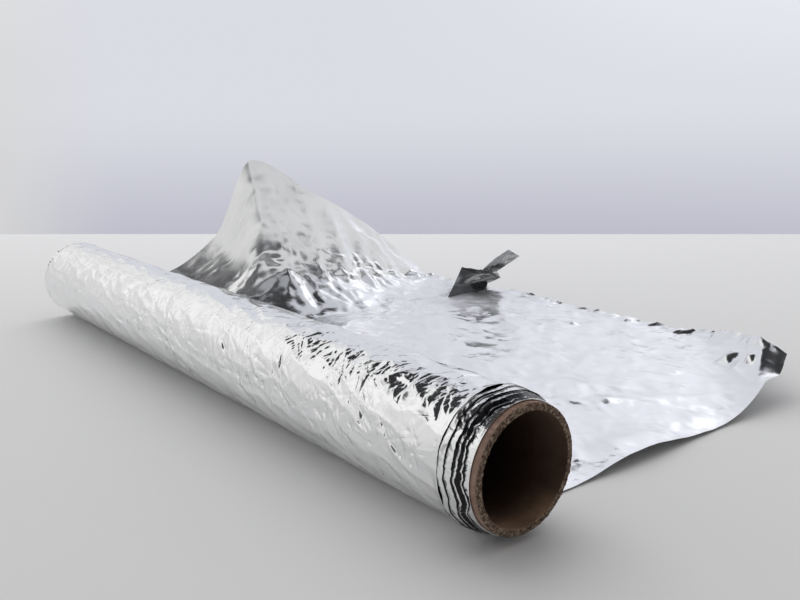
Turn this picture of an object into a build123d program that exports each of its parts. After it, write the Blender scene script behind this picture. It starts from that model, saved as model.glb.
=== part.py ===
"""Kitchen foil wound on its cardboard tube, with a torn-off length lying unrolled beside it.

X runs along the roll, towards the end whose turns have slid back from the tube. Y runs along
the unrolled sheet. The origin is on the table, under the roll's axis, midway along the tube.
"""

from build123d import *
from math import cos, exp, pi, radians, sin
import os

os.makedirs("parts", exist_ok=True)

# Cardboard tube
core_length = 300.0
core_diameter = 32.0
core_wall = 2.0
core_edge_round = 0.35

# Wound turns, which have slid along each other like a telescope
web_width = 295.0
winding_thickness = 2.1
core_stand_out = 2.2
turn_slide = 8.4
flat_spot_depth = 0.15
turn_edge_shares = (0.0, 0.10, 0.27, 0.43, 0.62, 0.80, 1.0)

# Unrolled sheet, drawn thicker than real foil so that it stays a solid
foil_thickness = 0.4
sheet_length = 200.0
sheet_side_slip = 1.9
facets_across = 36
facets_along = 24
edge_points_per_facet = 3

# Side margin that stands up as a ramp, tallest a third of the way along
crest_height = 75.5
ramp_straightness_share = 0.62
ramp_station_shares = (0.0, 0.22, 0.30, 0.375, 0.52, 0.745, 0.86, 1.0)
crest_reach_shares = (1.0, 0.941, 0.890, 0.836, 0.825, 0.863, 0.869, 0.890)
crest_height_shares = (0.0, 0.264, 0.489, 1.0, 0.793, 0.502, 0.29, 0.02)
ramp_foot_shares = (0.846, 0.744, 0.683, 0.676, 0.683, 0.730, 0.785, 0.846)

# Flutes that the standing margin has creased into
flute_depth = 4.8
flute_width = 19.0
flute_lean_share = 0.32

# Corner at the open end, curled up about a slanting line
curl_start = 97.7
curl_radius = 30.7
curl_heading = 140.2

# Arched edge at the open end, between two places where it touches the table
arch_height = 3.0
arch_depth = 14.0
arch_start = 28.0
arch_end = 100.0

# Creases that lift the sheet off the table here and there
crease_height = 1.2
crease_length = 74.0
crease_width = 23.0
crease_offset_share = 0.16
crease_sharpness = 1.5
crease_fade_share = 0.25

# Torn free end: stations across the web, and how far the foil reaches at each
tear_station_shares = (0.0, 0.07, 0.14, 0.22, 0.34, 0.45, 0.6, 0.66, 0.685, 0.694, 0.72, 0.76, 0.85, 1.0)
tear_reach_shares = (0.785, 0.85, 0.93, 0.98, 0.99, 1.0, 1.01, 0.99, 0.985, 0.86, 0.91, 0.97, 1.0, 1.0)
tooth_depth = 2.4
tooth_depth_shares = (0.0, 0.9, 0.3, 1.0, 0.1, 0.6, 0.2, 0.8, 0.4)

# Flap that stands up from one side of the tear's notch and runs out as a narrow twisted strip
strip_rise = 25.5
strip_reach = 28.0
strip_lean = 8.0
flap_width = 23.0
strip_station_share = 0.685
strip_edge_points = 1
strip_reach_shares = (0.0, 0.11, 0.375, 0.70, 1.0)
strip_lean_shares = (0.44, 1.1, 1.0, 0.88, 1.0)
strip_rise_shares = (0.22, 0.45, 0.53, 0.78, 1.0)
strip_width_shares = (1.0, 0.98, 0.39, 0.37, 0.35)
strip_turns = (82.0, 40.0, 18.0, 0.0, 6.0)
strip_tilts = (2.0, 12.0, 0.0, 21.0, 20.0)

core_radius = core_diameter / 2
roll_radius = core_radius + winding_thickness
axis_height = roll_radius - flat_spot_depth
roll_axis = Axis((0, 0, axis_height), (1, 0, 0))
along_roll = Plane(origin=(0, 0, axis_height), x_dir=(1, 0, 0), z_dir=(0, -1, 0))
turn_edge_x = core_length / 2 - core_stand_out
sheet_edge_x = turn_edge_x - turn_slide - sheet_side_slip


def smooth_table(at, stations, values):
    """Value of a smooth curve through the stations, level past its ends and with no overshoot."""
    at = min(max(at, stations[0]), stations[-1])
    slopes = []
    for index in range(len(stations) - 1):
        slopes.append((values[index + 1] - values[index]) / (stations[index + 1] - stations[index]))
    tangents = [slopes[0]]
    for before, after in zip(slopes, slopes[1:]):
        tangents.append(2 * before * after / (before + after) if before * after > 0 else 0)
    tangents.append(slopes[-1])
    index = 0
    while index < len(slopes) - 1 and at > stations[index + 1]:
        index += 1
    span = stations[index + 1] - stations[index]
    k = (at - stations[index]) / span
    from_left = (1 + 2 * k) * (1 - k) ** 2 * values[index] + k * (1 - k) ** 2 * span * tangents[index]
    right_value = values[index + 1]
    right_tangent = tangents[index + 1]
    return from_left + k**2 * (3 - 2 * k) * right_value - k**2 * (1 - k) * span * right_tangent


def bump(at, start, end):
    """Zero outside start to end, and one rounded rise to 1 between them."""
    if at <= start or at >= end:
        return 0
    return sin(pi * (at - start) / (end - start)) ** 2


def curled_corner(across, along, height):
    """Roll the open corner up about a line that slants across the sheet."""
    heading = radians(curl_heading)
    past_line = across * cos(heading) + (along - curl_start) * sin(heading)
    if past_line <= 0:
        return across, along, height
    angle = past_line / curl_radius
    shift = (curl_radius - height) * sin(angle) - past_line
    raised = curl_radius - (curl_radius - height) * cos(angle)
    return across + shift * cos(heading), along + shift * sin(heading), raised


def creases(across, along):
    """Shallow creases, deepest in the middle of the sheet and gone at the roll."""
    slanting = sin(2 * pi * (across / crease_length + along / crease_width))
    crossing = sin(2 * pi * (across / crease_width - along / crease_length + crease_offset_share))
    fade = min(1, along / (crease_fade_share * sheet_length)) ** 2
    return crease_height * fade * max(0, slanting * crossing) ** crease_sharpness


def sheet_point(web_share, length_share):
    """Point of the sheet's underside, web_share across it and length_share along it."""
    across = web_share * web_width
    along = length_share * sheet_length
    reach = smooth_table(length_share, ramp_station_shares, crest_reach_shares) * web_width
    crest = smooth_table(length_share, ramp_station_shares, crest_height_shares) * crest_height
    foot = smooth_table(length_share, ramp_station_shares, ramp_foot_shares) * web_width
    height = arch_height * bump(along, arch_start, arch_end) * exp(-((across / arch_depth) ** 2))
    height += creases(across, along)
    if across > foot:
        up_ramp = (across - foot) / (web_width - foot)
        knee = foot + ramp_straightness_share * (reach - foot)
        across = (1 - up_ramp) ** 2 * foot + 2 * up_ramp * (1 - up_ramp) * knee + up_ramp**2 * reach
        flute = sin(2 * pi * (along / flute_width + flute_lean_share * up_ramp))
        height = height * (1 - up_ramp) + up_ramp**2 * crest
        across -= flute_depth * flute * up_ramp * (1 - up_ramp) * crest / crest_height
    across, along, height = curled_corner(across, along, height)
    return Vector(sheet_edge_x - across, along, height)


def tear_share(web_share, tooth):
    """How far along the sheet its torn edge lies, with a ragged tooth taken out."""
    reach = smooth_table(web_share, tear_station_shares, tear_reach_shares)
    return reach - tooth_depth_shares[tooth % len(tooth_depth_shares)] * tooth_depth / sheet_length


def sheet_rows():
    """Facet corners of the underside, row by row from the roll to just short of the tear."""
    rows = []
    for step in range(facets_along):
        row = []
        for column in range(facets_across + 1):
            web_share = column / facets_across
            end_share = tear_share(web_share, 0) - 2 * tooth_depth / sheet_length
            row.append(sheet_point(web_share, end_share * step / (facets_along - 1)))
        rows.append(row)
    return rows


def torn_row():
    """Points of the torn edge, closer together than the facets behind them."""
    count = facets_across * edge_points_per_facet
    row = []
    for index in range(count + 1):
        web_share = index / count
        row.append(sheet_point(web_share, tear_share(web_share, index)))
    return row


def strip_rows(base):
    """Rows of the flap and its strip, from the side of the notch out to the loose end."""
    middle = (base[0] + base[-1]) / 2
    rows = [base]
    for row in range(len(strip_reach_shares)):
        reach = strip_reach_shares[row] * strip_reach
        lean = strip_lean_shares[row] * strip_lean
        centre = middle + Vector(reach, lean, strip_rise_shares[row] * strip_rise)
        turn = radians(strip_turns[row])
        tilt = radians(strip_tilts[row])
        across_row = Vector(cos(turn) * cos(tilt), sin(turn) * cos(tilt), -sin(tilt))
        half = across_row * (strip_width_shares[row] * flap_width / 2)
        rows.append([centre + half, centre - half])
    return rows


def grid_triangles(rows):
    """Two triangles for each cell between neighbouring rows."""
    triangles = []
    for near, far in zip(rows, rows[1:]):
        for a, b, c, d in zip(near, near[1:], far[1:], far):
            triangles.append((a, b, c))
            triangles.append((a, c, d))
    return triangles


def edge_triangles(last, edge):
    """Fans that join the last row to the closer points of the torn edge."""
    triangles = []
    for column in range(facets_across):
        first = column * edge_points_per_facet
        for index in range(first, first + edge_points_per_facet):
            triangles.append((last[column], edge[index + 1], edge[index]))
        triangles.append((last[column], last[column + 1], edge[first + edge_points_per_facet]))
    return triangles


def sheet_solid(rows, edge):
    """Close the facets, their copies one foil thickness higher, and the walls round the rim."""
    start = round(strip_station_share * (len(edge) - 1))
    end = start + strip_edge_points
    strip = strip_rows(edge[start : end + 1])
    triangles = grid_triangles(rows) + edge_triangles(rows[-1], edge) + grid_triangles(strip)
    lift = Vector(0, 0, foil_thickness)
    faces = []
    for a, b, c in triangles:
        faces.append(Face(Wire.make_polygon([a, b, c])))
        faces.append(Face(Wire.make_polygon([a + lift, b + lift, c + lift])))
    rim = rows[0][:-1] + [row[-1] for row in rows] + edge[:end:-1]
    rim += [row[-1] for row in strip] + strip[-1][-2:0:-1] + [row[0] for row in reversed(strip)]
    rim += edge[:start][::-1] + [row[0] for row in reversed(rows)]
    for a, b in zip(rim, rim[1:]):
        faces.append(Face(Wire.make_polygon([a, b, b + lift])))
        faces.append(Face(Wire.make_polygon([a, b + lift, a + lift])))
    return Solid(Shell(faces))


# Cardboard tube
with BuildPart() as core_tube:
    with BuildSketch(Plane.YZ.offset(-core_length / 2)):
        with Locations((0, axis_height)):
            Circle(core_radius)
            Circle(core_radius - core_wall, mode=Mode.SUBTRACT)
    extrude(amount=core_length)
    rims = core_tube.edges().filter_by(GeomType.CIRCLE)
    chamfer(rims, core_edge_round)

# Wound turns, each step of the profile a band of turns that slid a little further
with BuildPart() as foil_turns:
    with BuildSketch(along_roll):
        with BuildLine():
            steps = []
            for inner, outer in zip(turn_edge_shares, turn_edge_shares[1:]):
                step_x = turn_edge_x - inner * turn_slide
                steps.append((step_x, core_radius + inner * winding_thickness))
                steps.append((step_x, core_radius + outer * winding_thickness))
            far_steps = [(x - web_width, radius) for x, radius in steps]
            Polyline(*steps, *reversed(far_steps), close=True)
        make_face()
    revolve(axis=roll_axis)
    with BuildSketch(Plane.XY):
        Rectangle(2 * core_length, 2 * roll_radius)
    extrude(amount=-roll_radius, mode=Mode.SUBTRACT)

# Unrolled sheet, which leaves the turns where they rest on the table
with BuildPart() as foil_sheet:
    add(sheet_solid(sheet_rows(), torn_row()))
    with BuildSketch(Plane.YZ.offset(-core_length)):
        with Locations((0, axis_height)):
            Circle(roll_radius)
    extrude(amount=2 * core_length, mode=Mode.SUBTRACT)

core_tube.part.label = "core_tube"
foil_turns.part.label = "foil_turns"
foil_sheet.part.label = "foil_sheet"
export_step(core_tube.part, "parts/core_tube.step")
export_step(foil_turns.part, "parts/foil_turns.step")
export_step(foil_sheet.part, "parts/foil_sheet.step")
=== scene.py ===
"""Looks of a kitchen foil roll: creased foil skin, telescoped turns, unrolled sheet and cardboard tube.

Geometry is worked out in millimetres in the frame's own axes and handed to Blender in metres.
X runs along the roll, Y along the unrolled sheet and Z up. The table is at Z = 0.
"""

import math

import bpy
import numpy as np
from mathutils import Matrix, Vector


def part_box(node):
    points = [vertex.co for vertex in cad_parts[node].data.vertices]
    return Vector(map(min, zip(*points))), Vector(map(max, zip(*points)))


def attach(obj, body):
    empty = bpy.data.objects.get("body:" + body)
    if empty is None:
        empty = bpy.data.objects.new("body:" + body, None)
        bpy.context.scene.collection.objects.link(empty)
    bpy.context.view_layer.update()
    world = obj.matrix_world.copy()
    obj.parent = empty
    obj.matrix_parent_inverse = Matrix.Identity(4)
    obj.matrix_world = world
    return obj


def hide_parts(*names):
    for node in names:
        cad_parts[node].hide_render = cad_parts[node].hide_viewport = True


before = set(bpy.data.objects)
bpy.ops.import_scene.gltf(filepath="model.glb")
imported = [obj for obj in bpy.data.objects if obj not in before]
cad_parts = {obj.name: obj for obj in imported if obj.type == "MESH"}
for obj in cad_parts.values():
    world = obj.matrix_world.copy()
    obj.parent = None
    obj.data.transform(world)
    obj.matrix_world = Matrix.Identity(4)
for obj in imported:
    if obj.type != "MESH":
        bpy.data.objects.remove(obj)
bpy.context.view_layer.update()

MM = 0.001

# Sizes read from the frame
turns_low = np.array(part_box("foil_turns")[0]) / MM
tube_low, tube_high = [np.array(corner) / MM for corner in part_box("core_tube")]
core_radius = (tube_high[1] - tube_low[1]) / 2
core_wall = 2.0
axis_height = (tube_high[2] + tube_low[2]) / 2
roll_radius = -turns_low[1]
winding_thickness = roll_radius - core_radius

# Small distances that keep the pieces inside the solids and off the table
surface_inset = 0.02
table_clearance = 0.01
table_flatten_share = 0.002
far_limit_x = turns_low[0] + 0.3
sharp_edge_angle = math.radians(50)

# Wound turns
web_width = 295.0
tube_stands_out = 2.2
turn_edge_x = tube_high[0] - tube_stands_out
turn_slide = 8.4
turn_edge_shares = (0.0, 0.10, 0.27, 0.43, 0.62, 0.80, 1.0)
skin_edge_x = 138.6
skin_bore_radius = 16.4
skin_turn_stations = (-90, -15, 105, 270)
skin_turn_steps = (3.6, 1.15, 3.9)
skin_place_stations = (skin_edge_x, 60, -20, far_limit_x)
skin_place_steps = (0.28, 0.5, 1.05)
deepest_dent = 1.6
facet_length = 7.0
facet_width = 5.4
short_fold_count = 430
long_fold_count = 170
crossing_fold_count = 130
wrinkle_count = 380

# Bands of turns that have slid out of the near end
band_columns = 420
band_radius = 17.86
band_wear_radius = 16.06
gap_floor_radius = 16.6
turns_bore_radius = 16.0
narrowest_gap = 0.10
bands_end_x = 147.7
bands_limit_x = 147.75
nick_limit_x = 146
# Each band: width of its pale surface, width of the open edge after it and the step down there
slid_bands = (
    (1.64, 0.36, 0.27),
    (2.14, 0.54, 0.41),
    (0.60, 1.05, 0.58),
    (0.34, 0.62, 0.22),
    (1.15, 0.0, 0.04),
)

# Turns that have slid the same way at the far end
far_turn_radius = 16.05
far_hollow_radius = 17.3
far_bore_radius = 16.3
far_bore_x = -147.0
near_bore_x = 130.0

# Unrolled sheet, as the frame's solid has it
skin_thickness = 0.12
sheet_length = 200.0
sheet_side_slip = 1.9
sheet_edge_x = turn_edge_x - turn_slide - sheet_side_slip
sheet_rows = 180
sheet_columns = 240
crest_height = 75.5
ramp_run = 47
ramp_gentle_share = 0.50
ramp_bend_share = 0.66
ramp_bend_softness = 0.14
ramp_station_shares = (0.0, 0.22, 0.30, 0.375, 0.52, 0.745, 0.86, 1.0)
crest_reach_shares = (1.0, 0.941, 0.890, 0.836, 0.825, 0.863, 0.869, 0.890)
reach_blur_shares = (-0.05, -0.025, 0.0, 0.025, 0.05)
crest_height_shares = (0.0, 0.264, 0.489, 1.0, 0.793, 0.502, 0.29, 0.02)
ramp_foot_shares = (0.846, 0.744, 0.683, 0.676, 0.683, 0.730, 0.785, 0.846)
flute_depth = 3.2
flute_width = 19.0
curl_start = 97.7
curl_radius = 30.7
curl_heading = math.radians(140.2)
arch_height = 3.0
arch_depth = 14.0
arch_start = 28.0
arch_end = 100.0
tear_station_shares = (0.0, 0.07, 0.14, 0.22, 0.34, 0.45, 0.6, 0.66, 0.685, 0.694, 0.72, 0.76, 0.85, 1.0)
tear_reach_shares = (0.785, 0.85, 0.93, 0.98, 0.99, 1.0, 1.01, 0.99, 0.985, 0.86, 0.91, 0.97, 1.0, 1.0)
tear_mean_shares = (0.785, 0.85, 0.93, 0.98, 0.99, 1.0, 1.01, 0.99, 0.985, 0.985, 0.985, 0.99, 1.0, 1.0)
tooth_depth = 2.4
lip_start = 142.0
lip_width = 6.5
lip_widening = 0.22
lip_bend = (0.25, 0.19, -0.585)
sharp_crease_count = 330
broad_crease_count = 160
# Dents that show dark in the photo, then two long soft folds:
# place across and along the sheet, heading in degrees, length, width and depth
placed_dents = (
    (29, 159, 152.6, 14, 7, 2.6),
    (14.5, 153, 152.6, 8, 7, 2.2),
    (118, 171, 152.6, 10, 5, 1.5),
    (127, 166, 152.6, 14, 3.5, 1.0),
    (30, 103, -58, 76, 9, 0.5),
    (44, 84, -50, 60, 7, 0.4),
)

# Flap and twisted strip at the notch of the tear, row by row from the sheet
flap_width = 23.0
flap_web_shares = (0.6852, 0.6944)
flap_along_shares = (0.975, 0.845)
flap_shift = (4.4, -3.5, 0.7)
flap_back_rises = (5.6, 11.5)
flap_backs = (0.5, 3.2)
# Painted shade on the flap's fold: rows up the flap and how much shade each gets
flap_painted_shade_rows = (0.8, 1.3, 2.5, 3.0)
flap_painted_shade_shares = (0.9, 0.6, 0.6, 0.0)
flap_rows = (
    # reach along the roll, lean along the sheet, rise, width share, turn and tilt in degrees
    (0.0, 3.5, 5.6, 1.0, 82.0, 2.0),
    (3.1, 8.8, 11.5, 0.98, 40.0, 12.0),
    (10.5, 8.0, 13.5, 0.39, 18.0, 0.0),
    (19.6, 7.6, 19.9, 0.37, 0.0, 21.0),
    (28.0, 8.9, 25.5, 0.35, 6.0, 20.0),
)
strip_steps = 14
strip_columns = 16
strip_clearance = 0.05

# Cardboard tube
tube_columns = 288
tube_steps = 40
rim_round = 0.5
bore_inset = 0.01
fray_depth = 0.55

noise_cells = 256
rng = np.random.default_rng(7)
noise_table = rng.random((noise_cells, noise_cells))


def smooth_table(at, stations, values):
    """Smooth curve through the stations, with no overshoot between them."""
    stations = np.array(stations)
    values = np.array(values)
    at = np.clip(at, stations[0], stations[-1])
    slopes = np.diff(values) / np.diff(stations)
    tangents = np.zeros(len(values))
    tangents[0] = slopes[0]
    tangents[-1] = slopes[-1]
    product = slopes[:-1] * slopes[1:]
    total = np.where(product > 0, slopes[:-1] + slopes[1:], 1)
    tangents[1:-1] = np.where(product > 0, 2 * product / total, 0)
    index = np.clip(np.searchsorted(stations, at, side="left") - 1, 0, len(slopes) - 1)
    span = stations[index + 1] - stations[index]
    part = (at - stations[index]) / span
    left = (1 + 2 * part) * (1 - part) ** 2 * values[index] + part * (1 - part) ** 2 * span * tangents[index]
    right = part**2 * (3 - 2 * part) * values[index + 1] - part**2 * (1 - part) * span * tangents[index + 1]
    return left + right


def smooth_step(low, high, at):
    part = np.clip((at - low) / (high - low), 0, 1)
    return part * part * (3 - 2 * part)


def bell(at, centre, width):
    return np.exp(-(((at - centre) / width) ** 2))


def table_value(column, row):
    """Random number from 0 to 1 that belongs to a corner of the noise's cells."""
    return noise_table[column % noise_cells, row % noise_cells]


def soft_noise(x, y, seed=0):
    """Repeatable smooth noise from -1 to 1, one cell per unit."""
    x = x + 17.3 * seed
    y = y + 31.7 * seed
    column = np.floor(x).astype(int)
    row = np.floor(y).astype(int)
    u = smooth_step(0, 1, x - column)
    v = smooth_step(0, 1, y - row)
    low = table_value(column, row) * (1 - u) + table_value(column + 1, row) * u
    high = table_value(column, row + 1) * (1 - u) + table_value(column + 1, row + 1) * u
    return 2 * (low * (1 - v) + high * v) - 1


def facets(x, y, seed=0):
    """Random heights joined by flat triangles, and how widely each triangle spreads along y."""
    bend_x = 0.45 * soft_noise(x * 0.8, y * 0.8, seed + 40)
    bend_y = 0.45 * soft_noise(x * 0.8, y * 0.8, seed + 41)
    heading = 0.6 + 1.1 * seed
    cosine = math.cos(heading)
    sine = math.sin(heading)
    across = (x + bend_x) * cosine - (y + bend_y) * sine + 13.7 * seed
    along = (x + bend_x) * sine + (y + bend_y) * cosine + 29.1 * seed
    column = np.floor(across).astype(int)
    row = np.floor(along).astype(int)
    u = across - column
    v = along - row
    first = np.maximum(u, v)
    last = np.minimum(u, v)
    side_place = np.where(u > v, -sine, cosine)
    far_place = cosine - sine
    side_height = np.where(u > v, table_value(column + 1, row), table_value(column, row + 1))
    height = table_value(column, row) * (1 - first) + side_height * (first - last)
    height = height + table_value(column + 1, row + 1) * last
    mean = side_place * (first - last) + far_place * last
    spread = side_place**2 * (first - last) + far_place**2 * last - mean**2
    return 2 * height - 1, spread


def facet_noise(x, y, seed=0):
    """Flat-faced noise from -1 to 1, like crumpled foil."""
    return facets(x, y, seed)[0]


def crease_field(across, along, creases, period=None):
    """Sum of creases, each a sharp fold between a steep triangle and a gentle one."""
    height = np.zeros_like(across)
    for centre_across, centre_along, angle, length, width, depth, flank in creases:
        off_across = across - centre_across
        off_along = along - centre_along
        if period:
            off_along = (off_along + period / 2) % period - period / 2
        along_fold = off_across * math.cos(angle) + off_along * math.sin(angle)
        off_fold = -off_across * math.sin(angle) + off_along * math.cos(angle)
        taper = 1 - np.abs(2 * along_fold / length)
        near = (taper > 0) & (np.abs(off_fold) < width)
        if not near.any():
            continue
        reach = width * taper[near] + 1e-6
        side = off_fold[near]
        profile = np.clip(np.where(side < 0, 1 + side / (reach * flank), 1 - side / reach), 0, 1)
        height[near] += depth * taper[near] * profile
    return height


def grid_faces(rows, columns, wrap_columns=False, wrap_rows=False):
    """Quads of a grid stored row by row; wrapping joins the last column or row to the first."""
    last_column = columns if wrap_columns else columns - 1
    last_row = rows if wrap_rows else rows - 1
    i, j = np.meshgrid(np.arange(last_row), np.arange(last_column), indexing="ij")
    below = (i + 1) % rows
    right = (j + 1) % columns
    quads = [i * columns + j, i * columns + right, below * columns + right, below * columns + j]
    return np.stack(quads, -1).reshape(-1, 4)


def slab_faces(rows, columns, flipped=False):
    """Faces of a closed slab between two grids of points that are stored one after the other."""
    count = rows * columns
    under = grid_faces(rows, columns)
    index = np.arange(count).reshape(rows, columns)
    rim = np.concatenate([index[0, :], index[1:, -1], index[-1, -2::-1], index[-2:0:-1, 0]])
    after = np.roll(rim, -1)
    walls = np.stack([rim, rim + count, after + count, after], -1)
    if flipped:
        under = under[:, ::-1]
        walls = np.stack([rim, after, after + count, rim + count], -1)
    return np.concatenate([under, under[:, ::-1] + count, walls])


def twice(values):
    """The same values for the lower and the upper grid of a slab."""
    return np.concatenate([values, values])


def make_piece(name, points, faces, node, web, marks):
    """Mesh from points in millimetres that rides on the body and stands for a node."""
    mesh = bpy.data.meshes.new(name)
    points = points.reshape(-1, 3)
    mesh.from_pydata((points * MM).tolist(), [], faces.tolist())
    mesh.polygons.foreach_set("use_smooth", [True] * len(mesh.polygons))
    layer = mesh.attributes.new("web", "FLOAT_VECTOR", "POINT")
    flat = np.concatenate([web.reshape(-1, 2) * MM, np.zeros((len(points), 1))], 1)
    layer.data.foreach_set("vector", flat.ravel().astype(np.float32))
    for key, values in marks.items():
        layer = mesh.attributes.new(key, "FLOAT", "POINT")
        layer.data.foreach_set("value", values.ravel().astype(np.float32))
    mesh.update()
    mesh.set_sharp_from_angle(angle=sharp_edge_angle)
    piece = bpy.data.objects.new(name, mesh)
    bpy.context.scene.collection.objects.link(piece)
    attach(piece, "root")
    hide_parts(node)
    return piece


def surface_normals(grid):
    """Unit normals of a grid of points, by central differences."""
    first = np.gradient(grid, axis=0)
    second = np.gradient(grid, axis=1)
    normals = np.cross(first, second)
    return normals / (np.linalg.norm(normals, axis=2, keepdims=True) + 1e-9)


def lathe(x, radius, turn):
    """Points at places along the roll, radii and angles measured from the front."""
    y = -radius * np.cos(turn)
    z = axis_height + radius * np.sin(turn)
    lowest = table_clearance + table_flatten_share * (roll_radius - radius)
    return np.stack([x + 0 * turn, y, np.maximum(z, lowest)], -1)


def lathe_web(grid, turn):
    """Where each lathed point lies on the foil: along the roll and round it."""
    return np.stack([grid[..., 0], np.broadcast_to(turn * roll_radius, grid.shape[:2])], -1)


# Skin of the roll


def spaced(stations, steps):
    """Numbers from the first station to the last, with a step of their own in each span."""
    runs = []
    for start, end, step in zip(stations, stations[1:], steps):
        count = max(1, round(abs(end - start) / step))
        runs.append(np.linspace(start, end, count, endpoint=False))
    return np.concatenate(runs + [[stations[-1]]])


# Folds seen in the photo: place along the roll and degrees round it at both ends, width and depth
placed_folds = (
    (118.6, 67.7, 117.9, 44.4, 9.0, 0.80),
    (104.9, 56.7, 107.8, 77.2, 1.1, 0.22),
    (109.5, 61.7, 112.2, 91.4, 0.8, 0.20),
    (104.6, 34.9, 103.7, 55.3, 1.0, 0.22),
    (112.0, 43.6, 106.6, 50.4, 1.6, 0.34),
    (119.8, 37.1, 118.8, 49.2, 0.8, 0.20),
    (134.4, 37.6, 131.5, 58.8, 2.2, 0.42),
    (136.4, 43.8, 133.5, 57.9, 1.2, 0.28),
    (129.4, 46.5, 129.7, 58.9, 2.4, 0.40),
    (120.2, 63.0, 121.8, 80.1, 1.2, 0.26),
    (130.2, 72.8, 133.7, 90.1, 0.9, 0.24),
    (88.4, 84.6, 90.8, 91.2, 0.9, 0.24),
    (99.2, 89.1, 101.2, 98.6, 0.7, 0.20),
    (89.0, 73.1, 92.6, 79.1, 0.9, 0.22),
    (-44.5, 51.0, -35.0, 84.0, 4.2, 0.75),
    (-47.0, 62.0, -62.0, 6.0, 1.5, 0.22),
    (-36.0, 60.0, -48.0, 2.0, 1.4, 0.22),
    (-33.0, 66.0, -22.0, 20.0, 1.4, 0.26),
)


def random_fold(draw, headings, spread, widths, lengths, depth_shares):
    """Angle, length, width and depth of one crease, drawn at random."""
    heading = draw.choice(headings) if len(headings) > 1 else headings[0]
    angle = math.radians(heading + spread * draw.normal())
    width = draw.uniform(*widths)
    length = draw.uniform(*lengths)
    return angle, length, width, width * draw.uniform(*depth_shares)


def roll_creases():
    """Creases of the skin, as place, angle, length, width, depth and flank, in millimetres."""
    creases = []
    degree = roll_radius * math.radians(1)
    for start_x, start_turn, end_x, end_turn, width, depth in placed_folds:
        run = end_x - start_x
        rise = (end_turn - start_turn) * degree
        angle = math.atan2(rise, run) % math.pi
        length = 1.25 * math.hypot(run, rise)
        middle = (start_turn + end_turn) / 2
        creases.append(((start_x + end_x) / 2, middle * degree, angle, length, width, depth, 0.2))
    # Short sharp folds along the upper front, thicker towards the near end
    for _ in range(short_fold_count):
        x = 137 - 240 * rng.random() ** 1.6
        turn = 61 + 10 * rng.normal()
        angle = math.radians(rng.choice([40, 65, 80, 105, 20]) + 22 * rng.normal())
        length = rng.uniform(1.2, 6) * rng.uniform(0.6, 1.2)
        width = rng.uniform(0.3, 1.3) * (0.55 + 0.45 * (x > 60))
        depth = width * rng.uniform(0.08, 0.26)
        creases.append((x, turn * degree, angle, length, width, depth, 0.3))
    # Longer folds that run round the roll, over the top and the back too
    for _ in range(long_fold_count):
        x = skin_edge_x - 285 * rng.random()
        angle = math.radians(rng.choice([60, 75, 90, 105, 125]) + 12 * rng.normal())
        width = rng.uniform(0.7, 2.2)
        turn = rng.uniform(75, 265)
        length = rng.uniform(8, 26)
        depth = width * rng.uniform(0.06, 0.2)
        creases.append((x, turn * degree, angle, length, width, depth, 0.4))
    # Long thin folds that cross on the front
    front_rng = np.random.default_rng(11)
    for _ in range(crossing_fold_count):
        x = 128 - 262 * front_rng.random()
        turn = front_rng.uniform(-4, 54)
        fold = random_fold(front_rng, (38, -38, 62, -62, 15), 12, (0.6, 1.3), (9, 32), (0.07, 0.2))
        creases.append((x, turn * degree, *fold, 0.35))
    # Crushed wrinkles low down at the front
    for _ in range(wrinkle_count):
        x = 130 - 190 * rng.random() ** 1.2
        turn = 6 + 15 * rng.normal()
        fold = random_fold(rng, (-50,), 32, (0.6, 1.7), (3, 13), (0.07, 0.28))
        creases.append((x, turn * degree, *fold, 0.5))
    return creases


def skin_depth(x, turn):
    """How far the skin is dented in at each place on it, in millimetres."""
    degrees = np.degrees(turn)
    arc = turn * roll_radius
    nearer = smooth_step(-60, 110, x)
    belt = bell(degrees, 60, 15) * smooth_step(-50, 90, x)
    top = smooth_step(66, 84, degrees)
    low = bell(degrees, 4, 16) * smooth_step(-60, 10, x)
    broad = 0.10 * (1 + soft_noise(x / 40, arc / 12, 1)) + 0.05 * (1 + soft_noise(x / 13, arc / 6, 2))
    large = (0.20 + 0.08 * belt + 0.10 * top + 0.06 * low) * (1 + facet_noise(x / 12, arc / 9, 1))
    height, spread = facets(x / facet_length, arc / facet_width, 4)
    medium = 0.9 * spread * facet_width**2 / (2 * roll_radius)
    medium = medium + (0.085 + 0.06 * belt + 0.05 * top + 0.04 * low) * (1 + height)
    small = (0.028 + 0.034 * belt + 0.02 * top + 0.02 * low) * (1 + facet_noise(x / 2.6, arc / 2.0, 2))
    fine = (0.008 + 0.010 * belt + 0.006 * top + 0.006 * low) * (1 + facet_noise(x / 1.2, arc / 0.95, 3))
    large = large * (0.8 + 0.3 * nearer)
    # Nothing is dented where the skin rests on the table and the sheet leaves it
    seam = smooth_step(-90, -78, degrees) * (1 - smooth_step(258, 270, degrees))
    folds = crease_field(x, arc, roll_creases(), 2 * math.pi * roll_radius)
    return (broad + large + medium + small + fine + folds) * seam


def ragged_edge(turn, seed):
    """Uneven edge of a turn of foil, in millimetres along the roll."""
    slow = soft_noise(turn * 2.2, turn * 0 + seed, seed)
    jagged = facet_noise(turn * 7.0, turn * 0 + 3.1 * seed, seed)
    fine = soft_noise(turn * 38.0, turn * 0, seed + 3)
    return 0.34 * slow + 0.20 * jagged + 0.07 * fine


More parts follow.
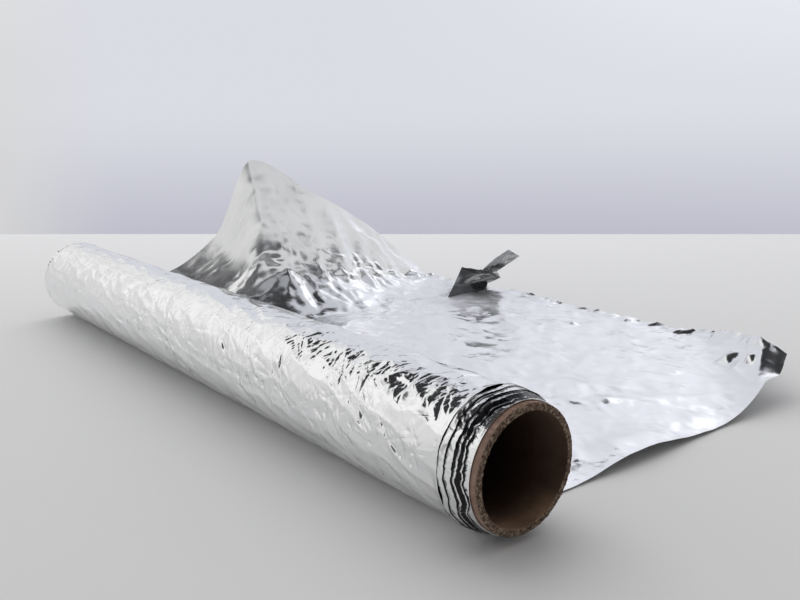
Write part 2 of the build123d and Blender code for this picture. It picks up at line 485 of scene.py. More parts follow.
def make_skin():
    """Outermost turn of the roll, dented and creased, as a closed sleeve."""
    degrees = spaced(skin_turn_stations, skin_turn_steps)[:-1]
    turn = np.radians(degrees)[None, :]
    stations = spaced(skin_place_stations, skin_place_steps)[:, None]
    near = np.exp(-(skin_edge_x - stations) / 3.0)
    x = stations + (ragged_edge(turn, 1) - 0.1) * near
    end_fade = smooth_step(0, 2.0, skin_edge_x - stations) * 0.5 + 0.5
    depth = np.clip(skin_depth(x, turn + 0 * x), 0, deepest_dent) * end_fade
    radius = roll_radius - surface_inset - depth
    outer = lathe(x, radius, turn)
    # Inner face: close behind the outer one at both ends and well inside it between them
    bore = 0 * radius[0] + skin_bore_radius
    inner_x = np.stack([x[-1], x[-1] + 0.4, x[-1] + 3 + 0 * x[-1], x[0] - 5, x[0] - 0.5, x[0]])
    inner_radius = [radius[-1] - 0.1, radius[-1] - 0.3, bore, bore, radius[0] - 0.3, radius[0] - 0.1]
    inner = lathe(inner_x, np.stack(inner_radius), turn)
    grid = np.concatenate([outer, inner])
    rows, columns = grid.shape[:2]
    faces = grid_faces(rows, columns, wrap_columns=True, wrap_rows=True)
    # Painted shade on the inner face where the skin's near edge meets the slid turns
    painted_shade_mask = np.zeros((rows, columns))
    painted_shade_mask[-2:] = 1
    degrees = np.broadcast_to(degrees, (rows, columns))
    crush = 1.0 + 0.5 * bell(degrees, 4, 22) + 0.5 * smooth_step(64, 80, degrees)
    marks = {"painted_shade": painted_shade_mask, "crush": crush, "haze": 0 * painted_shade_mask}
    return make_piece("roll_skin", grid, faces, "foil_turns", lathe_web(grid, turn), marks)


def near_band_rows(turn):
    """Rows of the slid bands, as place, radius, how much painted shade and how worn, from the skin's edge
    outwards.
    """
    degrees = np.degrees(turn)
    still = turn * 0
    high = bell(degrees, 80, 13)
    low = bell(degrees, -18, 28)
    first_gap = 0.12 + (0.22 + 0.8 * low) * (1 + 1.2 * soft_noise(turn * 3.7, still, 60))
    first_gap = first_gap + 2.2 * bell(degrees, 86, 14)
    x = skin_edge_x + first_gap + ragged_edge(turn, 1)
    radius = band_radius
    # The first rows lie in the gap under the skin's edge and carry painted shade
    rows = [(skin_edge_x - 2.4, gap_floor_radius, 1, 0)]
    rows.append((x - 0.2, radius - 0.56, 1, 0))
    rows.append((x - 0.03, radius - 0.02, 1, 0))
    for index, (pale, dark, drop) in enumerate(slid_bands, start=2):
        pinched = high * (index < 4)
        uneven = ragged_edge(turn, index) * min(1.0, 0.45 * pale + 0.3)
        end = np.maximum(x + pale * (1 - 0.5 * pinched) + uneven, x + 0.06)
        for share in np.linspace(0, 1, 3 + round(3 * pale)):
            rows.append((x + (end - x) * share, radius - 0.03 * share, 0, 1))
        gap = dark * (1 + 0.8 * soft_noise(turn * 3.1, still, index + 60))
        gap = gap + 0.5 * dark * facet_noise(turn * 9, still, index)
        gap = np.maximum(gap + 0.35 * pinched, narrowest_gap)
        # Painted shade on the open edge after a band and the step down there
        edge = 1 if dark else 0
        rows.append((end + 0.03, radius - 0.06, edge, 0))
        rows.append((end + gap * 0.45, radius - drop * 0.70, edge, 0))
        x = end + gap
        radius -= drop
        rows.append((x - 0.02, radius + 0.01, edge, 0))
    # The bands are pushed along until the last one ends beside the tube's rim
    slide = bands_end_x - x.mean()
    rows = [(np.minimum(x + slide * smooth_step(138, 148, x), bands_limit_x), *rest) for x, *rest in rows]
    rows.append((turn_edge_x, radius - 0.02, 0, 0))
    # The bore carries painted shade
    rows.append((turn_edge_x, turns_bore_radius, 1, 0))
    return rows


def far_band_rows(turn):
    """Rows through the inside of the roll and round its far end, where the turns have slid out too."""
    far_x = turn_edge_x - web_width
    # Rows along the bore carry painted shade
    rows = [(far_bore_x, turns_bore_radius, 1, 0)]
    for index, share in enumerate(turn_edge_shares[:-1]):
        step = far_turn_radius + share * winding_thickness * 0.94
        x = far_x - share * 0.82 * turn_slide + 0.4 * ragged_edge(turn, index + 8)
        rows.append((x, step, 0, 0))
        rows.append((x - 0.4, step + 0.06, 0, 0))
    rows.append((far_x - 0.68 * turn_slide, far_hollow_radius, 0, 0))
    rows.append((far_x, far_bore_radius, 0, 0))
    rows.append((near_bore_x, far_bore_radius, 1, 0))
    return rows


def make_bands():
    """Turns that have slid out of the roll's ends, with open gaps between them at the near one that carry
    painted shade.
    """
    turn = np.radians(np.linspace(-90, 270, band_columns, endpoint=False))[None, :]
    rows = near_band_rows(turn) + far_band_rows(turn)
    place = np.concatenate([row[0] + 0 * turn for row in rows])
    radius = np.concatenate([row[1] + 0 * turn for row in rows])
    edge = np.concatenate([row[2] + 0 * turn for row in rows])
    worn = np.concatenate([row[3] + 0 * turn for row in rows])
    # Painted shade in nicks where a band has folded into the gap beside it
    nick_shade = smooth_step(0.30, 0.42, facet_noise(turn * 13, place * 0.9, 70))
    nick_shade = nick_shade * bell(np.degrees(turn), 48, 30) * (place < nick_limit_x)
    crumple = 0.11 * (1 + facet_noise(place / 1.5, turn * 8.5, 5))
    crumple = crumple + 0.045 * (1 + facet_noise(place / 0.7, turn * 21, 6))
    lowest = np.where(worn > 0, band_wear_radius, turns_bore_radius)
    grid = lathe(place, np.maximum(radius - crumple * worn, lowest), turn)
    faces = grid_faces(len(rows), band_columns, wrap_columns=True, wrap_rows=True)[:, ::-1]
    # Painted shade on the open edges, the bore and the nicks
    marks = {"painted_shade": np.maximum(edge, nick_shade), "crush": 0.5 + 0 * place, "haze": 0 * place}
    return make_piece("slid_turns", grid, faces, "foil_turns", lathe_web(grid, turn), marks)


# Unrolled sheet


def curled_corner(across, along, height):
    """Roll the open corner up about a line that slants across the sheet."""
    cosine = math.cos(curl_heading)
    sine = math.sin(curl_heading)
    past = np.maximum(across * cosine + (along - curl_start) * sine, 0)
    angle = past / curl_radius
    shift = (curl_radius - height) * np.sin(angle) - past
    raised = curl_radius - (curl_radius - height) * np.cos(angle)
    raised = np.where(past > 0, raised, height)
    return across + shift * cosine, along + shift * sine, raised


def ramp_profile(up):
    """Shares of the ramp's run and rise at shares of its length: gentle foot, bend and steep top."""
    run = np.linspace(0, 1, 201)
    past = run - ramp_bend_share
    steep = (np.sqrt(past**2 + ramp_bend_softness**2) + past) / 2
    steep = (steep - steep[0]) / (steep[-1] - steep[0])
    rise = ramp_gentle_share * run**1.3 + (1 - ramp_gentle_share) * steep
    steps = np.hypot(np.diff(run) * ramp_run, np.diff(rise) * crest_height)
    length = np.concatenate([[0], np.cumsum(steps)]) / steps.sum()
    return np.interp(up, length, run), np.interp(up, length, rise)


def sheet_points(web_share, along_share):
    """Points of the sheet's underside before it is creased, and how far up the ramp they are."""
    across = web_share * web_width
    along = along_share * sheet_length
    reach = 0
    for shift in reach_blur_shares:
        reach = reach + smooth_table(along_share + shift, ramp_station_shares, crest_reach_shares)
    reach = reach * web_width / len(reach_blur_shares)
    crest = smooth_table(along_share, ramp_station_shares, crest_height_shares) * crest_height
    foot = smooth_table(along_share, ramp_station_shares, ramp_foot_shares) * web_width
    arch = np.clip(along, arch_start, arch_end)
    height = arch_height * np.sin(math.pi * (arch - arch_start) / (arch_end - arch_start)) ** 2
    height = height * np.exp(-((across / arch_depth) ** 2))
    up = np.clip((across - foot) / (web_width - foot), 0, 1)
    inward, rise = ramp_profile(up)
    ramp_across = foot + inward * (reach - foot)
    bent = along + 7 * soft_noise(along / 37, up * 2, 8)
    flute = np.sin(2 * math.pi * (bent / flute_width + 0.32 * up)) + 0.5 * facet_noise(bent / 7, up * 3, 9)
    ramp_across = ramp_across - flute_depth * flute * up * (1 - up) * crest / crest_height
    height = np.where(up > 0, height * (1 - up) + rise * crest, height)
    across = np.where(up > 0, ramp_across, across)
    across, along, height = curled_corner(across, along, height)
    return np.stack([sheet_edge_x - across, along, height], -1), up


def sheet_creases():
    """Creases pressed into the lying sheet, as for the roll."""
    creases = []
    for _ in range(sharp_crease_count):
        across = 3 + 230 * rng.random() ** 1.15
        along = rng.uniform(14, 190)
        fold = random_fold(rng, (38,), 15, (1.1, 3.2), (8, 44), (0.05, 0.14))
        creases.append((across, along, *fold, 0.6))
    for _ in range(broad_crease_count):
        across = rng.uniform(10, 240)
        along = rng.uniform(14, 195)
        fold = random_fold(rng, (5, 70, 80, 150), 15, (1.5, 4.5), (8, 30), (0.03, 0.08))
        creases.append((across, along, *fold, 0.7))
    for across, along, heading, length, width, depth in placed_dents:
        creases.append((across, along, math.radians(heading), length, width, depth, 0.8))
    return creases


def sheet_crumple(across, along, to_tear, up):
    """How far the crumpled sheet stands off its smooth shape, in millimetres."""
    fade = smooth_step(4, 34, along) * (0.35 + 0.65 * smooth_step(0, 10, across))
    steep = smooth_step(0.02, 0.35, up)
    # Axes along the view and across it, since creases across it would mirror the dark ceiling
    outward = across * 0.78 + along * 0.62
    aside = along * 0.78 - across * 0.62
    flat = 0.16 * (1 + soft_noise(across / 34, along / 24, 3))
    flat = flat + 0.75 * (1 + facet_noise(aside / 17, outward / 34, 4))
    flat = flat + 0.40 * (1 + facet_noise(aside / 7.5, outward / 15, 5))
    flat = flat + 0.30 * (1 + facet_noise(aside / 3.6, outward / 8, 6))
    flat = flat + crease_field(across, along, sheet_creases())
    ruffled = 1.0 * (1 + facet_noise(across / 3.6, along / 3.0, 7))
    standing = 1.8 * facet_noise(across / 14, along / 10, 14) + 1.2 * facet_noise(across / 7, along / 5, 15)
    standing = standing + 0.5 * facet_noise(across / 3.4, along / 2.6, 16)
    standing = standing * (1 - 0.8 * smooth_step(0.42, 0.60, up))
    lying = fade * (flat * (1 - steep) + ruffled * bell(to_tear, 0, 7))
    return lying + fade * standing * steep * (1 - 0.5 * bell(up, 1, 0.08))


def make_sheet():
    """Torn sheet that lies beside the roll, with its raised margin and curled corner."""
    shape = (sheet_rows, sheet_columns)
    web_share = np.linspace(0, 1, sheet_columns)
    reach = smooth_table(web_share, tear_station_shares, tear_reach_shares)
    teeth = 0.5 + 0.35 * facet_noise(web_share * 95, web_share * 0, 11)
    teeth = teeth + 0.15 * soft_noise(web_share * 210, web_share * 0, 12)
    reach = reach - tooth_depth / sheet_length * teeth
    share = np.linspace(0.02, 1, sheet_rows)[:, None]
    web_grid = np.broadcast_to(web_share[None, :], shape)
    # Rows follow the tear's mean course, and bend into the notch and the teeth only near the tear
    mean_reach = smooth_table(web_share, tear_station_shares, tear_mean_shares)
    along_grid = share * mean_reach[None, :] + share**6 * (reach - mean_reach)[None, :]
    grid, up = sheet_points(web_grid, along_grid)
    normals = surface_normals(grid)
    normals = normals * np.sign(normals[..., 2].mean())
    across = web_grid * web_width
    along = along_grid * sheet_length
    rise = sheet_crumple(across, along, reach[None, :] * sheet_length - along, up)
    grid = grid + normals * rise[..., None]
    # Narrow lip bent down along the side of the curled corner
    lip = np.clip(lip_width + lip_widening * (along - lip_start) - across, 0, None)
    lip = lip * smooth_step(lip_start - 9, lip_start + 3, along)
    grid = grid + lip[..., None] * np.array(lip_bend)
    grid[..., 0] = np.maximum(grid[..., 0], far_limit_x)
    grid[..., 2] = np.maximum(grid[..., 2], surface_inset)
    normals = surface_normals(grid)
    normals = normals * np.sign(normals[..., 2].mean())
    top = grid + normals * skin_thickness
    top[..., 2] = np.maximum(top[..., 2], grid[..., 2] + surface_inset)
    points = np.concatenate([grid, top])
    web = np.stack([across, along], -1)
    crush = (1.5 + 0.6 * soft_noise(across / 40, along / 40, 21)) * (1 - 0.7 * smooth_step(0.42, 0.62, up))
    by_flap = bell(across, 190, 28) * bell(along, 172, 30)
    haze = 1.0 - 0.45 * bell(along, 20, 70) + 1.3 * smooth_step(0.02, 0.35, up) + 4.5 * by_flap
    marks = {"painted_shade": twice(0 * haze), "crush": twice(crush), "haze": twice(haze)}
    return make_piece("unrolled_sheet", points, slab_faces(*shape), "foil_sheet", twice(web), marks)


def flap_ends():
    """Both ends of each row across the flap and strip, from the sheet to the strip's tip."""
    base, _ = sheet_points(np.array(flap_web_shares), np.array(flap_along_shares))
    middle = base.mean(0)
    ends = [base + np.array(flap_shift)]
    for reach, lean, rise, width, turn, tilt in flap_rows:
        # The rows are set back a little, more the higher they stand
        back = np.interp(rise, flap_back_rises, flap_backs)
        reach = reach - 0.78 * back
        lean = lean + 0.62 * back
        turn = math.radians(turn)
        tilt = math.radians(tilt)
        half = [math.cos(turn) * math.cos(tilt), math.sin(turn) * math.cos(tilt), -math.sin(tilt)]
        half = np.array(half) * width * flap_width / 2
        centre = middle + np.array([reach, lean, rise])
        ends.append(np.stack([centre + half, centre - half]))
    return np.array(ends)


def make_strip():
    """Flap that stands up at the notch and runs out as a narrow twisted strip."""
    ends = flap_ends()
    last = len(ends) - 1
    at = np.linspace(0, last, strip_steps * last + 1)
    row = np.minimum(at.astype(int), last - 1)
    part = (at - row)[:, None, None]
    sides = ends[row] * (1 - part) + ends[row + 1] * part
    share = np.linspace(0, 1, strip_columns)[None, :, None]
    grid = sides[:, :1] * (1 - share) + sides[:, 1:] * share
    normals = surface_normals(grid)
    lengths = at[:, None] + np.zeros((1, strip_columns))
    sideways = share[..., 0] * 3 + 0 * lengths
    crumple = 0.6 * facet_noise(lengths * 1.3, sideways, 31)
    crumple = crumple + 0.35 * facet_noise(lengths * 3.4, sideways * 2.4, 32)
    crumple = crumple * smooth_step(0, 0.5, lengths) * (1 - 0.75 * smooth_step(2.4, 3.2, lengths))
    grid = grid + normals * crumple[..., None]
    grid[..., 2] = np.maximum(grid[..., 2], strip_clearance)
    normals = surface_normals(grid)
    points = np.concatenate([grid, grid + normals * skin_thickness])
    web = np.stack([lengths * 8, sideways * 5], -1)
    haze = np.full(points.shape[:2], 0.8)
    # Painted shade where the flap is folded in on itself, most of all at its foot
    fold_painted_shade = np.interp(twice(lengths), flap_painted_shade_rows, flap_painted_shade_shares)
    marks = {"painted_shade": fold_painted_shade, "crush": 0.8 * haze, "haze": haze}
    faces = slab_faces(len(grid), strip_columns, flipped=True)
    return make_piece("torn_strip", points, faces, "foil_sheet", twice(web), marks)


# Cardboard tube


def tube_rows(inner, end):
    """Rows round the tube's wall, as place, radius and how far the board is cut there."""
    walls = np.linspace(-end + rim_round, end - rim_round, tube_steps)
    ring = [(0.18, core_radius - 0.10)]
    ring += [(0.0, radius) for radius in np.linspace(core_radius - 0.3, inner + 0.25, 9)]
    ring += [(0.12, inner + 0.06)]
    rows = [(x, core_radius - surface_inset, 0) for x in walls]
    rows += [(end - inset, radius, 1) for inset, radius in ring]
    rows += [(x, inner + bore_inset, 0.15) for x in walls[::-1]]
    rows += [(-end + inset, radius, 1) for inset, radius in reversed(ring)]
    return np.array(rows)


def make_tube():
    """Tube with frayed cut ends, open right through."""
    turn = np.linspace(0, 2 * math.pi, tube_columns, endpoint=False)[None, :]
    inner = core_radius - core_wall
    end = tube_high[0]
    table = tube_rows(inner, end)
    x, radius, cut = [table[:, column : column + 1] + 0 * turn for column in range(3)]
    inside = 1.0 * (radius < inner + 0.1)
    frayed = 0.5 + 0.5 * facet_noise(turn * 30, radius * 2.2, 51)
    frayed = 0.65 * frayed + 0.35 * (0.5 + 0.5 * soft_noise(turn * 90, radius * 5.0, 52))
    x = x - np.sign(x) * fray_depth * frayed * (cut > 0.5)
    wavy = 0.10 * soft_noise(turn * 16, x / 30, 53) + 0.06 * soft_noise(turn * 50, x / 30, 54)
    near_cut = smooth_step(3.0, 0.0, end - np.abs(x))
    radius = radius + np.where(radius < inner + 0.5, np.abs(wavy), -np.abs(wavy)) * near_cut
    radius = np.clip(radius, inner, core_radius)
    y = -radius * np.cos(turn)
    z = axis_height + radius * np.sin(turn)
    points = np.stack([x, y, z], -1)
    faces = grid_faces(len(table), tube_columns, wrap_columns=True, wrap_rows=True)[:, ::-1]
    web = np.stack([x, turn * core_radius + 0 * x], -1)
    marks = {"cut": cut, "inside": inside}
    return make_piece("paper_tube", points, faces, "core_tube", web, marks)


# Materials

# Colours, as linear red, green, blue and alpha
foil_dull = (0.86, 0.865, 0.875, 1)
foil_bright = (0.93, 0.935, 0.94, 1)
# Painted shade: near black for the gaps between turns, the bore and the flap's fold
painted_shade_tone = (0.025, 0.025, 0.027, 1)
board_dark = (0.25, 0.155, 0.118, 1)
board_light = (0.36, 0.24, 0.19, 1)
torn_dark = (0.10, 0.064, 0.045, 1)
torn_light = (0.40, 0.30, 0.22, 1)
torn_stain = (0.13, 0.075, 0.055, 1)
torn_fibre = (0.66, 0.56, 0.46, 1)
board_fibre = (0.34, 0.25, 0.20, 1)
# Painted shade deep in the bore and at its mouth, and painted light at the bottom of the mouth
bore_painted_shade = (0.030, 0.017, 0.012, 1)
bore_mouth_painted_shade = (0.13, 0.080, 0.056, 1)
bore_lit = (0.40, 0.25, 0.16, 1)
bore_stain = (0.05, 0.028, 0.02, 1)
table_tone = (0.80, 0.80, 0.80, 1)
table_cloud = (0.82, 0.82, 0.82, 1)
# Painted light: the table's tone further from the camera, where more light falls
table_far_painted_light = (0.89, 0.89, 0.90, 1)


class Nodes:
    """Small helper that adds and links shader nodes."""

    def __init__(self, tree):
        self.tree = tree
        tree.nodes.clear()

    def add(self, kind, **settings):
        node = self.tree.nodes.new(kind)
        for key, value in settings.items():
            setattr(node, key, value)
        return node

    def link(self, source, target):
        self.tree.links.new(source, target)

    def value(self, socket, given):
        if hasattr(given, "is_output"):
            self.link(given, socket)
        else:
            socket.default_value = given

    def math(self, operation, first, second=0.0):
        node = self.add("ShaderNodeMath", operation=operation)
        self.value(node.inputs[0], first)
        self.value(node.inputs[1], second)
        return node.outputs[0]

    def times(self, first, *others):
        for other in others:
            first = self.math("MULTIPLY", first, other)
        return first

    def most(self, first, *others):
        for other in others:
            first = self.math("MAXIMUM", first, other)
        return first

    def vector(self, operation, first, second=(0.0, 0.0, 0.0)):
        node = self.add("ShaderNodeVectorMath", operation=operation)
        self.value(node.inputs[0], first)
        self.value(node.inputs[3 if operation == "SCALE" else 1], second)
        return node.outputs["Value" if operation == "DOT_PRODUCT" else "Vector"]

    def towards(self, direction, heading):
        """How nearly a direction points along a heading."""
        return self.vector("DOT_PRODUCT", direction, tuple(heading))

    def parts(self, vector):
        node = self.add("ShaderNodeSeparateXYZ")
        self.link(vector, node.inputs[0])
        return node.outputs

    def ramp(self, given, low, high, to_low=0.0, to_high=1.0):
        node = self.add("ShaderNodeMapRange", interpolation_type="SMOOTHSTEP")
        self.value(node.inputs[0], given)
        for socket, number in zip(node.inputs[1:5], (low, high, to_low, to_high)):
            socket.default_value = number
        return node.outputs[0]

    def zone(self, *ranges):
        """1 where every value is past its range and 0 where one is still short of it."""
        return self.times(*[self.ramp(*limits) for limits in ranges])

    def mix(self, factor, first, second):
        node = self.add("ShaderNodeMix", data_type="RGBA")
        self.value(node.inputs[0], factor)
        self.value(node.inputs[6], first)
        self.value(node.inputs[7], second)
        return node.outputs[2]

    def attribute(self, name, output="Fac"):
        return self.add("ShaderNodeAttribute", attribute_name=name).outputs[output]

    def noise(self, vector, scale, detail=2.0, roughness=0.5, output="Fac"):
        node = self.add("ShaderNodeTexNoise")
        self.link(vector, node.inputs["Vector"])
        node.inputs["Scale"].default_value = scale
        node.inputs["Detail"].default_value = detail
        node.inputs["Roughness"].default_value = roughness
        return node.outputs[output]

    def cells(self, vector, scale, feature="F1", output="Distance"):
        node = self.add("ShaderNodeTexVoronoi", feature=feature, voronoi_dimensions="2D")
        self.link(vector, node.inputs["Vector"])
        node.inputs["Scale"].default_value = scale
        return node.outputs[output]

    def cell_tilt(self, vector, scale):
        """Random tilt of each flat facet, centred on none."""
        return self.vector("SUBTRACT", self.cells(vector, scale, output="Color"), (0.5, 0.5, 0.5))

    def cell_edges(self, vector, scale, width):
        """1 on the lines between the facets and 0 inside them."""
        return self.ramp(self.cells(vector, scale, "DISTANCE_TO_EDGE"), 0.0, width, 1.0, 0.0)

    def stretch(self, vector, scale, turn=0.0):
        node = self.add("ShaderNodeMapping")
        self.link(vector, node.inputs["Vector"])
        node.inputs["Scale"].default_value = scale
        node.inputs["Rotation"].default_value = (0, 0, turn)
        return node.outputs[0]

    def bump(self, height, strength, distance, normal=None):
        node = self.add("ShaderNodeBump")
        node.inputs["Strength"].default_value = strength
        node.inputs["Distance"].default_value = distance
        self.link(height, node.inputs["Height"])
        if normal is not None:
            self.link(normal, node.inputs["Normal"])
        return node.outputs[0]


def new_material(name):
    """Material with a plain shader, its nodes and the shader's inputs."""
    material = bpy.data.materials.new(name)
    material.use_nodes = True
    nodes = Nodes(material.node_tree)
    output = nodes.add("ShaderNodeOutputMaterial")
    shader = nodes.add("ShaderNodeBsdfPrincipled")
    nodes.link(shader.outputs[0], output.inputs[0])
    return material, nodes, shader.inputs


def foil_material():
    """Bright aluminium, crumpled into small flat facets with sharp creases between them."""
    material, nodes, inputs = new_material("foil")
    inputs["Metallic"].default_value = 1.0
    web = nodes.attribute("web", "Vector")
    # How much painted shade the foil carries: gaps between the slid turns, the bore and the flap's fold
    painted_shade_mask = nodes.attribute("painted_shade")
    crush = nodes.attribute("crush")
    haze = nodes.attribute("haze")
    # Uneven coordinates, so that no crease runs dead straight
    warp = nodes.noise(web, 120.0, output="Color")
    warped = nodes.vector("ADD", web, nodes.vector("SCALE", warp, 0.0035))
    slanted = nodes.stretch(warped, (1.0, 1.45, 1.0), 0.7)
    patch = nodes.ramp(nodes.noise(web, 34.0), 0.40, 0.62)
    # Flat facets of two sizes
    coarse = nodes.vector("SCALE", nodes.cell_tilt(slanted, 190.0), nodes.times(crush, 0.055))
    fine = nodes.vector("SCALE", nodes.cell_tilt(warped, 520.0), nodes.times(crush, patch, 0.075))
    tilt = nodes.vector("ADD", coarse, fine)
    # Sharp thin creases, faint where the foil is hazy
    clear = nodes.ramp(haze, 0.3, 0.7, 1.0, 0.1)
    long_patch = nodes.ramp(nodes.noise(web, 55.0, 1.0), 0.45, 0.62)
    long_lines = nodes.times(nodes.cell_edges(slanted, 78.0, 0.035), long_patch, clear)
    short_lines = nodes.times(nodes.cell_edges(slanted, 190.0, 0.06), nodes.times(patch, crush), clear)
    normal = nodes.bump(long_lines, 0.5, 0.00005)
    normal = nodes.bump(short_lines, 0.6, 0.00005, normal)
    rolling_lines = nodes.noise(nodes.stretch(web, (2600.0, 14.0, 1.0)), 1.0)
    normal = nodes.bump(rolling_lines, 0.12, 0.00001, normal)
    nodes.link(nodes.vector("NORMALIZE", nodes.vector("ADD", normal, tilt)), inputs["Normal"])
    bright = nodes.mix(nodes.noise(web, 33.0, 3.0), foil_dull, foil_bright)
    # Painted shade mixed into the foil's colour, with a rougher finish there
    nodes.link(nodes.mix(painted_shade_mask, bright, painted_shade_tone), inputs["Base Color"])
    rough = nodes.ramp(nodes.noise(web, 70.0, 3.0), 0.3, 0.7, 0.07, 0.17)
    rough = nodes.math("ADD", rough, nodes.times(haze, 0.06))
    nodes.link(nodes.math("ADD", rough, nodes.times(painted_shade_mask, 0.15)), inputs["Roughness"])
    return material


def cardboard_material():
    """Brown tube board: smooth outside, fibrous and speckled where it was cut, with painted shade within."""
    material, nodes, inputs = new_material("cardboard")
    inputs["Specular IOR Level"].default_value = 0.25
    inputs["Roughness"].default_value = 0.85
    place = nodes.add("ShaderNodeTexCoord").outputs["Object"]
    fibre_place = nodes.stretch(nodes.attribute("web", "Vector"), (120.0, 1500.0, 1.0))
    fibres = nodes.noise(fibre_place, 1.0, 4.0, 0.65)
    speckle = nodes.noise(place, 1150.0, 4.0, 0.7)
    cloudy = nodes.noise(place, 160.0, 3.0)
    smooth = nodes.mix(nodes.ramp(cloudy, 0.3, 0.7), board_dark, board_light)
    torn = nodes.mix(nodes.ramp(speckle, 0.40, 0.62), torn_dark, torn_light)
    torn = nodes.mix(nodes.times(nodes.ramp(cloudy, 0.5, 0.75), 0.5), torn, torn_stain)
    torn = nodes.mix(nodes.ramp(speckle, 0.62, 0.72), torn, torn_fibre)
    brown = nodes.mix(nodes.ramp(nodes.attribute("cut"), 0.25, 0.8), smooth, torn)
    brown = nodes.mix(nodes.times(nodes.ramp(fibres, 0.55, 0.75), 0.35), brown, board_fibre)
    # Painted shade deep inside the bore and at its mouth, and painted light at the bottom of its mouth
    parts = nodes.parts(place)
    from_middle = nodes.math("ABSOLUTE", parts["X"])
    mouth = nodes.ramp(from_middle, 0.120, 0.150)
    deep = nodes.mix(mouth, bore_painted_shade, bore_mouth_painted_shade)
    lit = nodes.zone((from_middle, 0.138, 0.149), (parts["Z"], 0.010, 0.006))
    deep = nodes.mix(lit, deep, bore_lit)
    deep = nodes.mix(nodes.times(nodes.ramp(cloudy, 0.35, 0.7), 0.4), deep, bore_stain)
    nodes.link(nodes.mix(nodes.attribute("inside"), brown, deep), inputs["Base Color"])
    normal = nodes.bump(speckle, 0.8, 0.0005)
    nodes.link(nodes.bump(fibres, 0.5, 0.0002, normal), inputs["Normal"])
    return material


def floor_material():
    """Plain pale table top, with painted light that makes it lighter away from the camera."""
    material, nodes, inputs = new_material("floor")
    inputs["Roughness"].default_value = 0.5
    inputs["Specular IOR Level"].default_value = 0.2
    place = nodes.add("ShaderNodeTexCoord").outputs["Object"]
    tone = nodes.mix(nodes.noise(place, 3.0), table_tone, table_cloud)
    # Painted light: lighter towards the back, where more light falls
    away = nodes.towards(place, (-0.70, 0.71, 0.0))
    tone = nodes.mix(nodes.ramp(away, -0.15, 0.45), tone, table_far_painted_light)
    nodes.link(tone, inputs["Base Color"])
    return material


# Stage: camera, table, room and lamp

camera_place = Vector((273.15, -135.38, 96.93)) * MM
view_heading = Vector((-0.78217, 0.62307, 0.0))
view_right = Vector((0.62307, 0.78217, 0.0))
view_pitch = math.radians(12.2115)
sensor_width = 36.0
nearest_view = 0.01
focal_pixels = 847.18
frame_pixels = 800.0
table_edge_distance = 0.711
table_half_width = 3.0
table_near_distance = 3.0
dark_corner_heading = view_right * 0.574 - view_heading * 0.819
softbox_heading = Vector((0, 0, 0.819)) + view_right * 0.439 + view_heading * 0.369
spot_heading = Vector((0, 0, 0.50)) + view_right * 0.50 + view_heading * 0.707
lamp_place = Vector((-0.60, 0.40, 0.85))
lamp_target = Vector((-0.1, 0.1, 0))
lamp_size = 1.5
lamp_power = 7.2

# Colours of the room and of its fill, where the spot is brighter than white
white_low = (0.66, 0.66, 0.65, 1)
white_high = (1.0, 1.0, 0.985, 1)
white_cloud = (0.70, 0.70, 0.695, 1)
lavender_low = (0.50, 0.505, 0.585, 1)
lavender_high = (0.705, 0.715, 0.775, 1)
lavender_bright = (0.96, 0.97, 1.05, 1)
grey_wall = (0.72, 0.73, 0.735, 1)
corner_tone = (0.06, 0.06, 0.06, 1)
shade_tone = (0.10, 0.10, 0.105, 1)
ceiling_tone = (0.030, 0.030, 0.033, 1)
ceiling_grey = (0.36, 0.37, 0.39, 1)
softbox_tone = (0.60, 0.61, 0.66, 1)
spot_tone = (1.22, 1.23, 1.27, 1)
fill_low = (0.26, 0.26, 0.263, 1)
fill_high = (0.54, 0.54, 0.545, 1)
fill_behind = (0.07, 0.07, 0.07, 1)
fill_left = (0.80, 0.80, 0.79, 1)


def make_camera():
    data = bpy.data.cameras.new("camera")
    data.sensor_width = sensor_width
    data.lens = focal_pixels / frame_pixels * sensor_width
    data.clip_start = nearest_view
    camera = bpy.data.objects.new("camera", data)
    bpy.context.scene.collection.objects.link(camera)
    camera.location = camera_place
    looking = view_heading * math.cos(view_pitch) - Vector((0, 0, math.sin(view_pitch)))
    camera.rotation_euler = looking.to_track_quat("-Z", "Y").to_euler()
    bpy.context.scene.camera = camera


def make_floor():
    ground = Vector((camera_place.x, camera_place.y, 0))
    corners = []
    for forward, side in ((-1, -1), (-1, 1), (1, 1), (1, -1)):
        distance = table_edge_distance if forward > 0 else -table_near_distance
        corners.append(ground + view_heading * distance + view_right * table_half_width * side)
    mesh = bpy.data.meshes.new("floor")
    mesh.from_pydata([tuple(corner) for corner in corners], [], [(0, 1, 2, 3)])
    floor = bpy.data.objects.new("floor", mesh)
    bpy.context.scene.collection.objects.link(floor)
    floor.data.materials.append(floor_material())


def room_walls(nodes, direction, up, right, ahead):
    """White wall on the left, lavender wall behind, grey ones on the right and behind the camera."""
    white = nodes.mix(nodes.ramp(up, -0.05, 0.50), white_low, white_high)
    cloudy = nodes.ramp(nodes.noise(direction, 6.5), 0.42, 0.60)
    white = nodes.mix(nodes.times(cloudy, 0.70), white, white_cloud)
    pale = nodes.mix(nodes.ramp(up, -0.16, 0.02), lavender_low, lavender_high)
    brighter = nodes.zone((right, -0.1, 0.5), (up, -0.05, 0.35), (ahead, -0.1, 0.3))
    pale = nodes.mix(brighter, pale, lavender_bright)
    far_right = nodes.most(nodes.ramp(right, 0.55, 0.85), nodes.ramp(ahead, 0.1, -0.2))
    pale = nodes.mix(far_right, pale, grey_wall)
    return nodes.mix(nodes.ramp(right, -0.48, -0.30), white, pale)


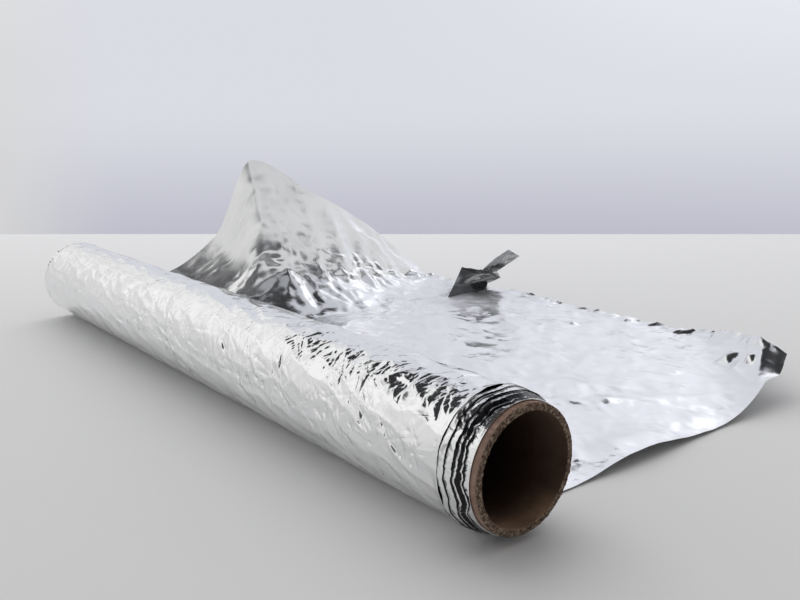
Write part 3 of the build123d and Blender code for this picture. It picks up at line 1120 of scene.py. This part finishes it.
def room_ceiling(nodes, walls, direction, up, right, ahead):
    """Dark upper walls beside and behind the camera, and a dark ceiling with a softbox and a spot."""
    right_shade = nodes.zone((right, 0.75, 0.84), (up, 0.43, 0.48), (ahead, -0.06, 0.08))
    left_shade = nodes.zone((right, -0.30, -0.45), (up, 0.32, 0.42), (ahead, -0.15, -0.30))
    back_shade = nodes.zone((ahead, 0.08, -0.06), (up, 0.58, 0.65))
    room = nodes.mix(nodes.most(right_shade, left_shade, back_shade), walls, shade_tone)
    room = nodes.mix(nodes.ramp(up, 0.64, 0.72), room, ceiling_tone)
    left = nodes.zone((right, -0.25, -0.50), (ahead, 0.05, -0.25))
    sides = nodes.most(left, nodes.ramp(ahead, -0.6, -0.8))
    room = nodes.mix(nodes.times(sides, nodes.ramp(up, 0.74, 0.82)), room, ceiling_grey)
    softbox = nodes.ramp(nodes.towards(direction, softbox_heading), 0.88, 0.915)
    between = nodes.zone((up, 0.62, 0.70), (up, 0.90, 0.95, 1.0, 0.0))
    softbox = nodes.times(softbox, between, nodes.ramp(right, 0.25, 0.42))
    room = nodes.mix(softbox, room, softbox_tone)
    return nodes.mix(nodes.ramp(nodes.towards(direction, spot_heading), 0.965, 0.99), room, spot_tone)


def matt_fill(nodes, direction, up):
    """Softer light that falls on matt surfaces."""
    fill = nodes.mix(nodes.ramp(up, 0.0, 0.85), fill_low, fill_high)
    behind = nodes.ramp(nodes.towards(direction, view_heading), 0.1, -0.8)
    fill = nodes.mix(behind, fill, fill_behind)
    return nodes.mix(nodes.ramp(nodes.towards(direction, -view_right), 0.2, 0.9), fill, fill_left)


def make_world():
    """Pale room with a dark ceiling for the camera and the foil's reflections, and a fill for the rest."""
    world = bpy.data.worlds.new("room")
    world.use_nodes = True
    bpy.context.scene.world = world
    nodes = Nodes(world.node_tree)
    output = nodes.add("ShaderNodeOutputWorld")
    background = nodes.add("ShaderNodeBackground")
    nodes.link(background.outputs[0], output.inputs[0])
    direction = nodes.add("ShaderNodeTexCoord").outputs["Generated"]
    up = nodes.parts(direction)["Z"]
    # How far a direction points to the right of the view and along it, once laid level
    level = nodes.vector("NORMALIZE", nodes.vector("MULTIPLY", direction, (1.0, 1.0, 0.0)))
    right = nodes.towards(level, view_right)
    ahead = nodes.towards(level, view_heading)
    walls = room_walls(nodes, direction, up, right, ahead)
    # Dark patch low down behind the camera, on its right
    corner = nodes.towards(level, dark_corner_heading)
    walls = nodes.mix(nodes.zone((corner, 0.60, 0.72), (up, 0.20, 0.30, 1.0, 0.0)), walls, corner_tone)
    room = room_ceiling(nodes, walls, direction, up, right, ahead)
    path = nodes.add("ShaderNodeLightPath").outputs
    mirrored = nodes.most(path["Is Glossy Ray"], path["Is Transmission Ray"])
    shown = nodes.most(path["Is Camera Ray"], mirrored)
    nodes.link(nodes.mix(shown, matt_fill(nodes, direction, up), room), background.inputs["Color"])


def make_lamp():
    """Large soft lamp high up behind the roll, which the foil doesn't mirror."""
    data = bpy.data.lights.new("key", "AREA")
    data.shape = "RECTANGLE"
    data.size = lamp_size
    data.size_y = lamp_size
    data.energy = lamp_power
    lamp = bpy.data.objects.new("key", data)
    bpy.context.scene.collection.objects.link(lamp)
    lamp.location = lamp_place
    lamp.rotation_euler = (lamp_target - lamp_place).to_track_quat("-Z", "Y").to_euler()
    lamp.visible_glossy = False


make_camera()
make_floor()
make_world()
make_lamp()

foil = foil_material()
for piece in (make_skin(), make_bands(), make_sheet(), make_strip()):
    piece.data.materials.append(foil)
make_tube().data.materials.append(cardboard_material())

bpy.context.scene.view_settings.view_transform = "Standard"

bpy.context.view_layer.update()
